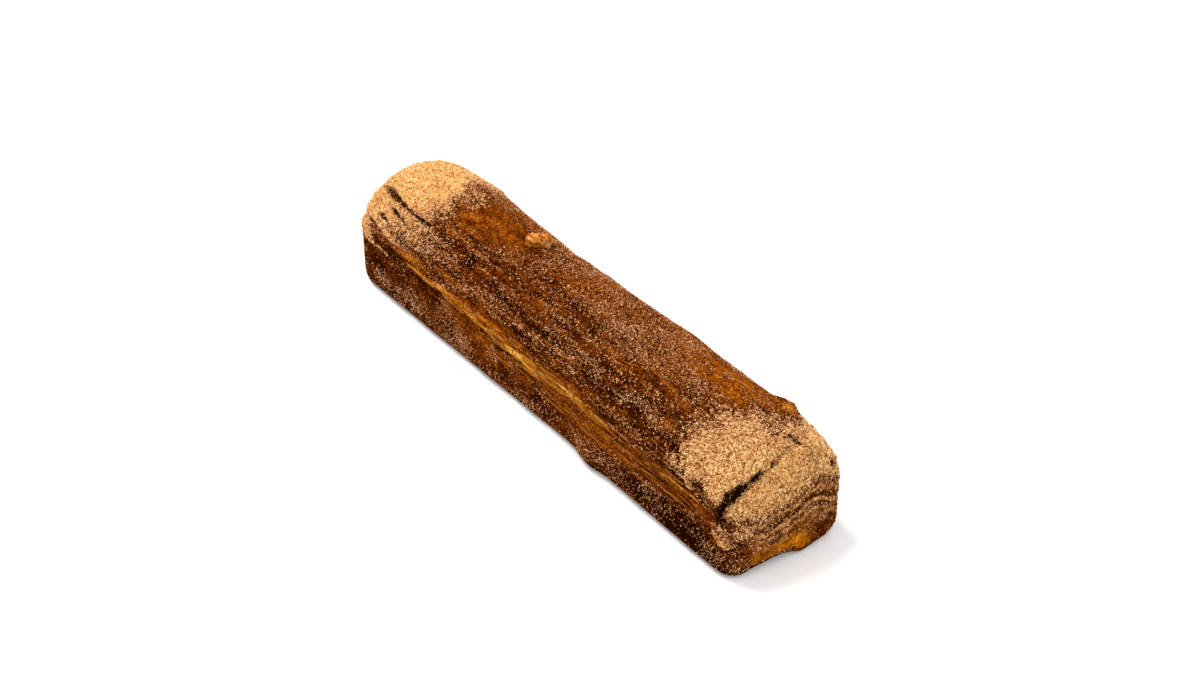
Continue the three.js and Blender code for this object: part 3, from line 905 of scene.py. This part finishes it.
# A torn golden crumb on the crown, and small bits beside it.
CRUMB = Sizes(place=(-33.4, 5.0), size=(9.4, 6.0, 4.6), turn=54, lift=1.6)
BITS = Sizes(count=7, direction=96, spread=3.4, scatter=0.9, size=(1.6, 3.0), lift=0.35)


def surface_at(skin, folded, normals, x, turn):
    """The crust's point and outward direction at a place along the bar and round it."""
    ring = np.abs(skin.x[:, ROWS.underside + ROWS.foot] - x).argmin()
    column = np.abs(skin.turn[ring] - turn).argmin()
    return folded[ring, column], normals[ring, column]


def thin_sheet(middle_line, across, up, half_widths, thickness):
    """A thin strip along a line of points, rounded across and open at both ends."""
    profile = ((-1, 0), (-0.5, 0.8), (0, 1), (0.5, 0.8), (1, 0), (0.5, -0.6), (-0.5, -0.6))
    rows = [middle_line + across * (side * half_widths)[:, None] + up * lift * thickness / 2
            for side, lift in profile]
    faces = ring_faces(len(middle_line), len(profile))[0]
    return np.stack(rows, 1).reshape(-1, 3), np.roll(faces[:, ::-1], 1, 1)


def make_shreds(rng, skin, folded, normals):
    """Thin golden lengths of torn lamination that lie along the shoulders."""
    all_points, all_faces, total = [], [], 0
    for k in range(SHREDS.front + SHREDS.back):
        front = k < SHREDS.front
        start = rng.uniform(-30, 92) if front else rng.uniform(-90, 96)
        length = rng.uniform(*SHREDS.length)
        lowest = 2.5 if start < -30 else 12.5
        level = rng.uniform(-1.5, lowest)
        turn = -level if front else 180 + level
        drift = rng.normal() * SHREDS.drift
        t = np.linspace(0, 1, SHREDS.steps)
        base = [surface_at(skin, folded, normals, start + length * s, turn + drift * length * s) for s in t]
        line = np.array([p for p, _ in base])
        up = np.array([q for _, q in base])
        lift = 0.08 + SHREDS.lift * rng.random() * np.abs(t - rng.uniform(0.2, 0.8)) ** 2
        line = line + up * lift[:, None]
        for axis in range(3):
            line[1:-1, axis] = np.convolve(line[:, axis], np.ones(3) / 3, "valid")
        across = np.cross(up, np.gradient(line, axis=0))
        across /= np.linalg.norm(across, axis=1, keepdims=True)
        half_widths = rng.uniform(*SHREDS.half_width) * np.sin(math.pi * (0.04 + 0.92 * t)) ** 0.6
        points, faces = thin_sheet(line, across, up, half_widths, SHREDS.thickness)
        all_points.append(points)
        all_faces.append(faces + total)
        total += len(points)
    points = np.clip(np.concatenate(all_points), LOW_CORNER, HIGH_CORNER)
    return make_object("shreds", points, np.concatenate(all_faces))


def make_crumb(name, centre, sizes, turn_deg, seed):
    """A torn, lumpy crumb: a ball squashed to size and broken up by noise."""
    points, faces = ball(subdivisions=4)
    x, y, z = points.T
    rough = 1 + 0.34 * lumps(x, y, z, 0.8, seed) + 0.2 * lumps(x, y, z, 0.3, seed + 5)
    squared = points / np.maximum(np.abs(points).max(1, keepdims=True), 1e-6) * 0.35 + points * 0.65
    shaped = squared * rough[:, None] * np.array(sizes) / 2
    cos, sin = math.cos(math.radians(turn_deg)), math.sin(math.radians(turn_deg))
    spin = np.array([[cos, -sin, 0], [sin, cos, 0], [0, 0, 1]])
    return make_object(name, np.clip(shaped @ spin.T + np.array(centre), LOW_CORNER, HIGH_CORNER), faces)


# ---------------------------------------------------------------- materials
def srgb(red, green, blue):
    """A linear colour from 0 to 255 screen values."""
    def linear(value):
        v = value / 255
        return v / 12.92 if v <= 0.04045 else ((v + 0.055) / 1.055) ** 2.4

    return (linear(red), linear(green), linear(blue), 1)


# A run of colours holds (place, red, green, blue) in screen values.
BAKED = [(0.02, 34, 9, 0), (0.2, 62, 21, 1), (0.4, 98, 42, 4), (0.6, 136, 69, 10), (0.8, 174, 97, 19),
         (1.0, 210, 133, 40)]
GOLD = [(0.3, 88, 40, 4), (0.46, 138, 74, 10), (0.6, 184, 114, 28), (0.76, 232, 168, 78)]
# Golden crust with the fold's speckled painted highlight.
BRIGHT_GOLD = [(0.3, 150, 84, 12), (0.5, 216, 142, 42), (0.7, 246, 190, 98)]
CORE = [(0.3, 112, 54, 4), (0.5, 168, 94, 8), (0.72, 214, 136, 22)]
LAYERS = [(0.0, 38, 15, 3), (0.34, 88, 46, 16), (0.64, 152, 98, 50), (0.95, 228, 170, 112)]
GRAINS = [(0.0, 106, 54, 22), (0.5, 160, 98, 52), (1.0, 232, 178, 128)]
AMBER_GRAINS = srgb(196, 116, 42)
POWDER = [(0.34, 164, 100, 42), (0.52, 230, 165, 92), (0.72, 255, 214, 148)]
# Paler powder where it lies fine, and as a painted highlight in front of the crack.
FINE_POWDER_AND_HIGHLIGHT = [(0.3, 220, 150, 76), (0.6, 242, 180, 104), (0.85, 255, 206, 138)]
THIN_POWDER = [(0.34, 138, 80, 38), (0.52, 202, 140, 84), (0.72, 244, 192, 136)]
POWDER_GAPS = srgb(128, 74, 32)
POWDER_CRACKS = srgb(112, 62, 26)
RUBBED_AND_SHADED_POWDER = srgb(124, 62, 30)
PAINTED_SHADE_COLOR = srgb(44, 18, 4)
FLOOR_SHADES = [(0.9, 0.9, 0.9, 1), (0.92, 0.92, 0.92, 1)]


class Recipe:
    """A node material, written as nested calls that return sockets."""

    def __init__(self, name, roughness=0.6, gloss=0.3):
        self.material = bpy.data.materials.new(name)
        self.material.use_nodes = True
        self.tree = self.material.node_tree
        self.shader = self.tree.nodes["Principled BSDF"]
        self.plug(self.shader, {"Roughness": roughness, "Specular IOR Level": gloss})
        self.place = self.node("ShaderNodeTexCoord").outputs["Object"]

    def plug(self, node, inputs):
        """Links each of a node's inputs to a socket, or sets it to a constant."""
        for name, value in inputs.items():
            if isinstance(value, bpy.types.NodeSocket):
                self.tree.links.new(value, node.inputs[name])
            else:
                node.inputs[name].default_value = value

    def node(self, kind, inputs=None, **settings):
        node = self.tree.nodes.new(kind)
        for name, value in settings.items():
            setattr(node, name, value)
        self.plug(node, inputs or {})
        return node

    def mask(self, name):
        return self.node("ShaderNodeAttribute", attribute_name=name).outputs["Fac"]

    def texture(self, kind, size_mm, stretch=1, shift=0, **inputs):
        """A texture whose pattern has a size, is drawn out along X and starts elsewhere by a shift."""
        per_metre = 1 / (size_mm * MM)
        mapping = self.node("ShaderNodeMapping", {
            "Vector": self.place, "Scale": (per_metre / stretch, per_metre, per_metre),
            "Location": (shift, shift * 1.7, shift * 2.3)})
        return self.node(kind, {"Vector": mapping.outputs["Vector"], "Scale": 1, **inputs})

    def noise(self, size_mm, stretch=1, detail=3, roughness=0.55, shift=0):
        """Noise around a half, with lumps of a size."""
        return self.texture("ShaderNodeTexNoise", size_mm, stretch, shift, Detail=detail,
                            Roughness=roughness).outputs["Fac"]

    def cells(self, size_mm):
        """Round cells of a size: the distance from each one's middle, and two random numbers for each."""
        cell = self.texture("ShaderNodeTexVoronoi", size_mm)
        split = self.node("ShaderNodeSeparateColor", {"Color": cell.outputs["Color"]})
        return cell.outputs["Distance"], split.outputs["Red"], split.outputs["Green"]

    def palette(self, value, stops):
        """Colour along a run."""
        node = self.node("ShaderNodeValToRGB", {"Fac": value})
        elements = node.color_ramp.elements
        while len(elements) < len(stops):
            elements.new(0.5)
        for element, (place, *color) in zip(elements, stops):
            element.position = place
            element.color = srgb(*color)
        return node.outputs["Color"]

    def ramp(self, value, low, high, to_low=0.0, to_high=1.0):
        """A soft step from one value to another."""
        inputs = {"Value": value, "From Min": low, "From Max": high, "To Min": to_low, "To Max": to_high}
        return self.node("ShaderNodeMapRange", inputs, interpolation_type="SMOOTHSTEP").outputs["Result"]

    def math(self, operation, first, second=0.0):
        return self.node("ShaderNodeMath", {0: first, 1: second}, operation=operation).outputs["Value"]

    def times(self, first, second):
        return self.math("MULTIPLY", first, second)

    def plus(self, *terms):
        return functools.reduce(lambda first, second: self.math("ADD", first, second), terms)

    def swing(self, value, reach):
        """Noise around a half turned into a swing of up to `reach` around 0."""
        return self.times(self.plus(value, -0.5), 2 * reach)

    def mix(self, factor, first, second):
        """From the first colour to the second; each is a socket or a linear colour."""
        node = self.node("ShaderNodeMix", data_type="RGBA")
        first_color, second_color = [k for k, socket in enumerate(node.inputs) if socket.type == "RGBA"]
        self.plug(node, {0: factor, first_color: first, second_color: second})
        return next(socket for socket in node.outputs if socket.type == "RGBA")

    def bump(self, height, distance_mm, strength, **under):
        inputs = {"Height": height, "Distance": distance_mm * MM, "Strength": strength, **under}
        return self.node("ShaderNodeBump", inputs).outputs["Normal"]

    def finish(self, color, **inputs):
        self.plug(self.shader, {"Base Color": color, **inputs})
        return self.material


class CrustRecipe(Recipe):
    """The crust's material, with the noises that its looks share."""

    def __init__(self):
        super().__init__("baked_crust", gloss=0.0)
        self.fine = self.noise(0.75, roughness=0.7)
        self.mottled = self.noise(2.6, stretch=1.6, detail=4, shift=3)
        self.blotch = self.noise(1.3, detail=2, shift=11)
        self.drawn = self.noise(1.5, stretch=15, shift=5)
        self.hair = self.noise(0.7, stretch=26, detail=2, shift=7)
        self.away, self.pick, self.shade = self.cells(0.66)


def bare_crust(m):
    """The baked crust, mottled and drawn out in lines."""
    lines = m.times(m.mask("streak"), m.plus(m.swing(m.drawn, 0.45), m.swing(m.hair, 0.25)))
    mottling = m.plus(m.swing(m.mottled, 0.4), m.swing(m.fine, 0.75), m.swing(m.blotch, 0.4))
    return m.palette(m.plus(m.mask("tone"), mottling, lines), BAKED)


def add_gold(m, color):
    """The torn golden fold, in threads, with a painted highlight speckled over its brightest places."""
    threads = m.noise(1.5, stretch=5, detail=4, roughness=0.65, shift=9)
    gold = m.palette(m.plus(threads, m.swing(m.hair, 0.3), m.swing(m.fine, 0.45)), GOLD)
    # Painted highlight, speckled along the fold's ridge.
    bright = m.palette(m.plus(m.fine, m.swing(m.pick, 0.3)), BRIGHT_GOLD)
    gold = m.mix(m.ramp(m.mask("gold"), 0.9, 1.6), gold, bright)
    return m.mix(m.ramp(m.plus(m.mask("gold"), m.swing(threads, 0.9)), 0.25, 0.65), color, gold)


def add_core(m, color):
    """The golden core of the near end."""
    return m.mix(m.mask("core"), color, m.palette(m.plus(m.mottled, m.swing(m.drawn, 0.3)), CORE))


def add_layers(m, color):
    """The nose's layers: pale edges with dark gaps, deepest near the top and paler lower down."""
    level = m.mask("level")
    edges = m.math("PINGPONG", m.plus(level, m.swing(m.fine, 0.3)), 0.5)
    between = m.math("PINGPONG", m.times(level, 3.3), 0.5)
    worn = m.plus(m.times(edges, m.ramp(level, 1.4, 3.4, 1.9, 0.7)), m.times(between, 0.36),
                  m.ramp(level, 0.8, 3.2, -0.3, 0.12), m.swing(m.mottled, 0.55), m.swing(m.fine, 0.9))
    return m.mix(m.mask("nose"), color, m.palette(worn, LAYERS))


def add_grains(m, color):
    """Drawn sugar, as many round grains as the mask asks for."""
    grain = m.mix(m.ramp(m.mask("tone"), 0.36, 0.7), m.palette(m.shade, GRAINS), AMBER_GRAINS)
    chosen = m.ramp(m.plus(m.mask("sugar"), m.times(m.pick, -1.0)), -0.02, 0.04)
    return m.mix(m.times(chosen, m.ramp(m.away, 0.56, 0.4)), color, grain)


def powder_color(m):
    """Powder: paler where fine, browner where thin and rubbed, with gaps, cracks, painted highlight and
    shade.
    """
    # Fine powder, and a painted highlight in front of the crack.
    smooth = m.mask("smooth")
    _, _, blob_shade = m.cells(1.25)
    dust = m.plus(m.times(blob_shade, 0.24), m.times(m.shade, 0.3), m.swing(m.fine, 0.5),
                  m.swing(m.mottled, 0.45), 0.27)
    color = m.mix(smooth, m.palette(dust, POWDER), m.palette(dust, FINE_POWDER_AND_HIGHLIGHT))
    color = m.mix(m.ramp(m.mask("share"), 0.5, 0.95, 0.8, 0.0), color, m.palette(dust, THIN_POWDER))
    gaps = m.times(m.ramp(m.away, 0.38, 0.62), m.ramp(smooth, 0.0, 1.0, 0.4, 0.05))
    color = m.mix(gaps, color, POWDER_GAPS)
    winding = m.math("ABSOLUTE", m.plus(m.noise(1.0, detail=1, shift=13), -0.5))
    broken = m.ramp(m.plus(m.blotch, m.swing(m.fine, 0.3)), 0.42, 0.56)
    cracks = m.times(m.ramp(winding, 0.01, 0.05, 1.0, 0.0), broken)
    color = m.mix(m.times(cracks, m.ramp(smooth, 0.0, 1.0, 0.8, 0.3)), color, POWDER_CRACKS)
    # Rubbed powder, and painted shade on the nose.
    rubbed_and_shaded = m.plus(m.times(m.mask("wear_and_shade"), 0.9), m.swing(m.fine, 0.6), m.swing(m.pick, 0.7))
    return m.mix(m.ramp(rubbed_and_shaded, 0.46, 0.8, 0.0, 0.9), color, RUBBED_AND_SHADED_POWDER)


def add_powder(m, color):
    """Powder where the mask has it, its edge broken up grain by grain."""
    dither = m.times(m.swing(m.pick, 0.6), m.ramp(m.mask("powder"), 0.02, 0.2))
    return m.mix(m.ramp(m.plus(m.mask("powder"), dither), 0.4, 0.6), color, powder_color(m))


def crust_surface(m):
    """Fine bumps of the crust, its grains and its drawn lines."""
    grains = m.times(m.ramp(m.away, 0.6, 0.1), m.plus(m.mask("powder"), m.mask("sugar")))
    grainy = m.bump(m.plus(m.times(m.fine, 0.6), grains), 0.4, 0.85)
    return m.bump(m.plus(m.drawn, m.times(m.hair, 0.5)), 0.5, 0.5, Normal=grainy)


def crust_material():
    m = CrustRecipe()
    color = bare_crust(m)
    for add_look in (add_gold, add_core, add_layers, add_grains, add_powder):
        color = add_look(m, color)
    # Painted shade in the crack, the splits, the notch and the pit.
    color = m.mix(m.ramp(m.mask("char"), 0.2, 0.8), color, PAINTED_SHADE_COLOR)
    rough = m.ramp(m.plus(m.mottled, m.times(m.mask("powder"), 0.8)), 0.35, 0.8, 0.46, 0.9)
    return m.finish(color, Roughness=rough, Normal=crust_surface(m))


def grain_material(name, stops, roughness):
    """Sugar whose grains differ in tone from one to the next."""
    m = Recipe(name, roughness, gloss=0.04)
    _, pick, _ = m.cells(0.6)
    drift = m.noise(9, detail=2, shift=6)
    return m.finish(m.palette(m.plus(m.times(pick, 0.8), m.times(drift, 0.2)), stops))


def flake_material(name, low, high, edge):
    m = Recipe(name, 0.5, gloss=0.02)
    drawn = m.noise(0.7, stretch=12, shift=4)
    mottled = m.noise(2.2, shift=8)
    color = m.mix(m.ramp(drawn, 0.35, 0.65), srgb(*low), srgb(*high))
    color = m.mix(m.times(m.ramp(mottled, 0.45, 0.7), 0.6), color, srgb(*edge))
    return m.finish(color, Normal=m.bump(drawn, 0.2, 0.7))


def floor_material():
    m = Recipe("table", 0.7)
    m.plug(m.shader, {"Emission Color": (1, 0.95, 0.93, 1), "Emission Strength": 0.16})
    return m.finish(m.mix(m.ramp(m.noise(60, detail=2), 0.3, 0.7), *FLOOR_SHADES))


def dress(piece, material):
    piece.data.materials.clear()
    piece.data.materials.append(material)


# ---------------------------------------------------------------- the croissant
# Kinds of sugar grains: how many, their size with its spread, how far they sink in, and their looks.
SUGARS = {
    "sugar_pale": Sizes(count=24000, size=0.41, spread=0.22, sunk=0.35, shape=crystal, roughness=0.4,
                        stops=[(0.0, 118, 62, 27), (0.5, 194, 130, 81), (1.0, 255, 214, 171)]),
    "sugar_brown": Sizes(count=22000, size=0.41, spread=0.22, sunk=0.4, shape=crystal, roughness=0.45,
                         stops=[(0.0, 74, 32, 6), (0.5, 132, 68, 16), (1.0, 206, 124, 42)]),
    "sugar_clumps": Sizes(count=1500, size=0.72, spread=0.25, sunk=0.3, shape=ball, roughness=0.7,
                          stops=[(0.0, 166, 108, 60), (0.5, 204, 148, 94), (1.0, 242, 198, 146)]),
    "sugar_powder": Sizes(count=24000, size=0.48, spread=0.25, sunk=0.45, shape=crystal, roughness=0.75,
                          stops=[(0.12, 136, 78, 32), (0.42, 230, 165, 93), (0.8, 255, 221, 161)])}


def sugar_densities(skin, values):
    """Where each kind of sugar lies: clumps where the powder thins, powder over the drawn coat."""
    powder, sugar, share = values["powder"], values["sugar"], values["share"]
    thinning = 4 * share * (1 - share)
    return {"sugar_pale": (0.006 + sugar) ** 1.6 * (1 - 0.85 * powder) * (1 + 0.4 * thinning),
            "sugar_brown": (0.06 + sugar) * (0.4 + values["tone"]) * (1 - 0.7 * powder),
            "sugar_clumps": thinning * powder * (skin.turn > 8) * (skin.turn < 172),
            "sugar_powder": powder ** 2 * (1.6 - values["smooth"]) * (1 - 0.5 * values["wear_and_shade"])}


def add_sugar(skin, folded, normals, values):
    """Loose sugar over the drawn coat; little of it in the crack, on the golden fold and on the core."""
    rng = np.random.default_rng(SEED)
    shown = (skin.off_table * (1 - 0.9 * values["char"]) * (1 - 0.8 * np.clip(values["gold"], 0, 1))
             * (1 - 0.9 * values["core"]))
    for name, density in sugar_densities(skin, values).items():
        kind = SUGARS[name]
        places, outward = scatter(rng, folded, normals, density * shown, kind.count)
        grains = make_grains(name, rng, places, outward, kind)
        dress(grains, grain_material(name, kind.stops, kind.roughness))


def add_flakes(skin, folded, normals):
    rng = np.random.default_rng(SEED + 1)
    shreds = make_shreds(rng, skin, folded, normals)
    dress(shreds, flake_material("shred_gold", (128, 66, 12), (180, 108, 32), (92, 42, 8)))
    amber = flake_material("crumb_amber", (132, 62, 10), (194, 112, 38), (244, 186, 114))
    x, y = CRUMB.place

    def on_crown(x, y, lift):
        near = skin.dome & (np.hypot(skin.x - x, skin.y - y) < 1.5)
        return x, y, folded[near][:, 2].mean() + lift

    dress(make_crumb("crumb_amber", on_crown(x, y, CRUMB.lift), CRUMB.size, CRUMB.turn, 3), amber)
    brown = flake_material("crumb_brown", (110, 54, 14), (162, 98, 42), (212, 150, 92))
    along = math.radians(BITS.direction)
    for k in range(BITS.count):
        out = CRUMB.size[0] / 2 + 1 + BITS.spread * rng.random()
        bit_x = x + out * math.cos(along) + rng.normal() * BITS.scatter
        bit_y = y + out * math.sin(along) + rng.normal() * BITS.scatter
        size = rng.uniform(*BITS.size)
        bit = make_crumb(f"crumb_bit_{k}", on_crown(bit_x, bit_y, size * BITS.lift),
                         (size, size * 0.8, size * 0.7), 360 * rng.random(), 20 + k)
        dress(bit, brown)


def make_croissant():
    skin = Skin()
    normals = grid_normals(skin.smooth)
    folded = skin.smooth + normals * crust_relief(skin)[..., None]
    folded[..., 2] += lifted_edge(skin)
    folded = np.clip(folded, LOW_CORNER, HIGH_CORNER)
    values = masks(skin)
    crust = make_crust(skin, folded, values)
    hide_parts(NODE)
    dress(crust, crust_material())
    add_sugar(skin, folded, grid_normals(folded), values)
    add_flakes(skin, folded, normals)


# ---------------------------------------------------------------- floor, light and camera (metres)
FLOOR_HALF = 3.0
# Lamps: name, place, target, size, power.
LAMPS = [("softbox", (-0.68, -0.12, 1.0), (0, 0, 0), 0.8, 16.2),
         ("fill", (0.7, -0.1, 0.9), (0, 0, 0.02), 0.8, 4)]
WORLD = {"Color": (1, 0.99, 0.975, 1), "Strength": 0.62}
# The photographed view, from the front and the near end, looking down on the bar.
CAMERA = Sizes(azimuth=53.8, elevation=34.3, distance=0.9325, target_z=0.017, lens=78,
               shift=(0.0149, 0.0124))


def add_stage():
    mesh = bpy.data.meshes.new("table")
    corners = [(x * FLOOR_HALF, y * FLOOR_HALF, 0) for x, y in ((-1, -1), (1, -1), (1, 1), (-1, 1))]
    mesh.from_pydata(corners, [], [(0, 1, 2, 3)])
    mesh.materials.append(floor_material())
    add_object("table", mesh)


def look(thing, place, target):
    """Puts a lamp or a camera at a place and turns it to a target."""
    thing.location = place
    thing.rotation_euler = (Vector(target) - Vector(place)).to_track_quat("-Z", "Y").to_euler()


def add_lights():
    world = bpy.data.worlds.new("studio")
    world.use_nodes = True
    for name, value in WORLD.items():
        world.node_tree.nodes["Background"].inputs[name].default_value = value
    bpy.context.scene.world = world
    for name, place, target, size, power in LAMPS:
        data = bpy.data.lights.new(name, "AREA")
        data.shape = "DISK"
        data.size = size
        data.energy = power
        look(add_object(name, data), place, target)


def add_camera():
    turn, rise = math.radians(CAMERA.azimuth), math.radians(CAMERA.elevation)
    towards = Vector((math.sin(turn) * math.cos(rise), -math.cos(turn) * math.cos(rise), math.sin(rise)))
    target = Vector((0, axis_y * MM, CAMERA.target_z))
    data = bpy.data.cameras.new("camera")
    data.lens = CAMERA.lens
    data.shift_x, data.shift_y = CAMERA.shift
    camera = add_object("camera", data)
    look(camera, target + towards * CAMERA.distance, target)
    bpy.context.scene.camera = camera


add_camera()
make_croissant()
add_stage()
add_lights()
bpy.context.scene.view_settings.view_transform = "Standard"
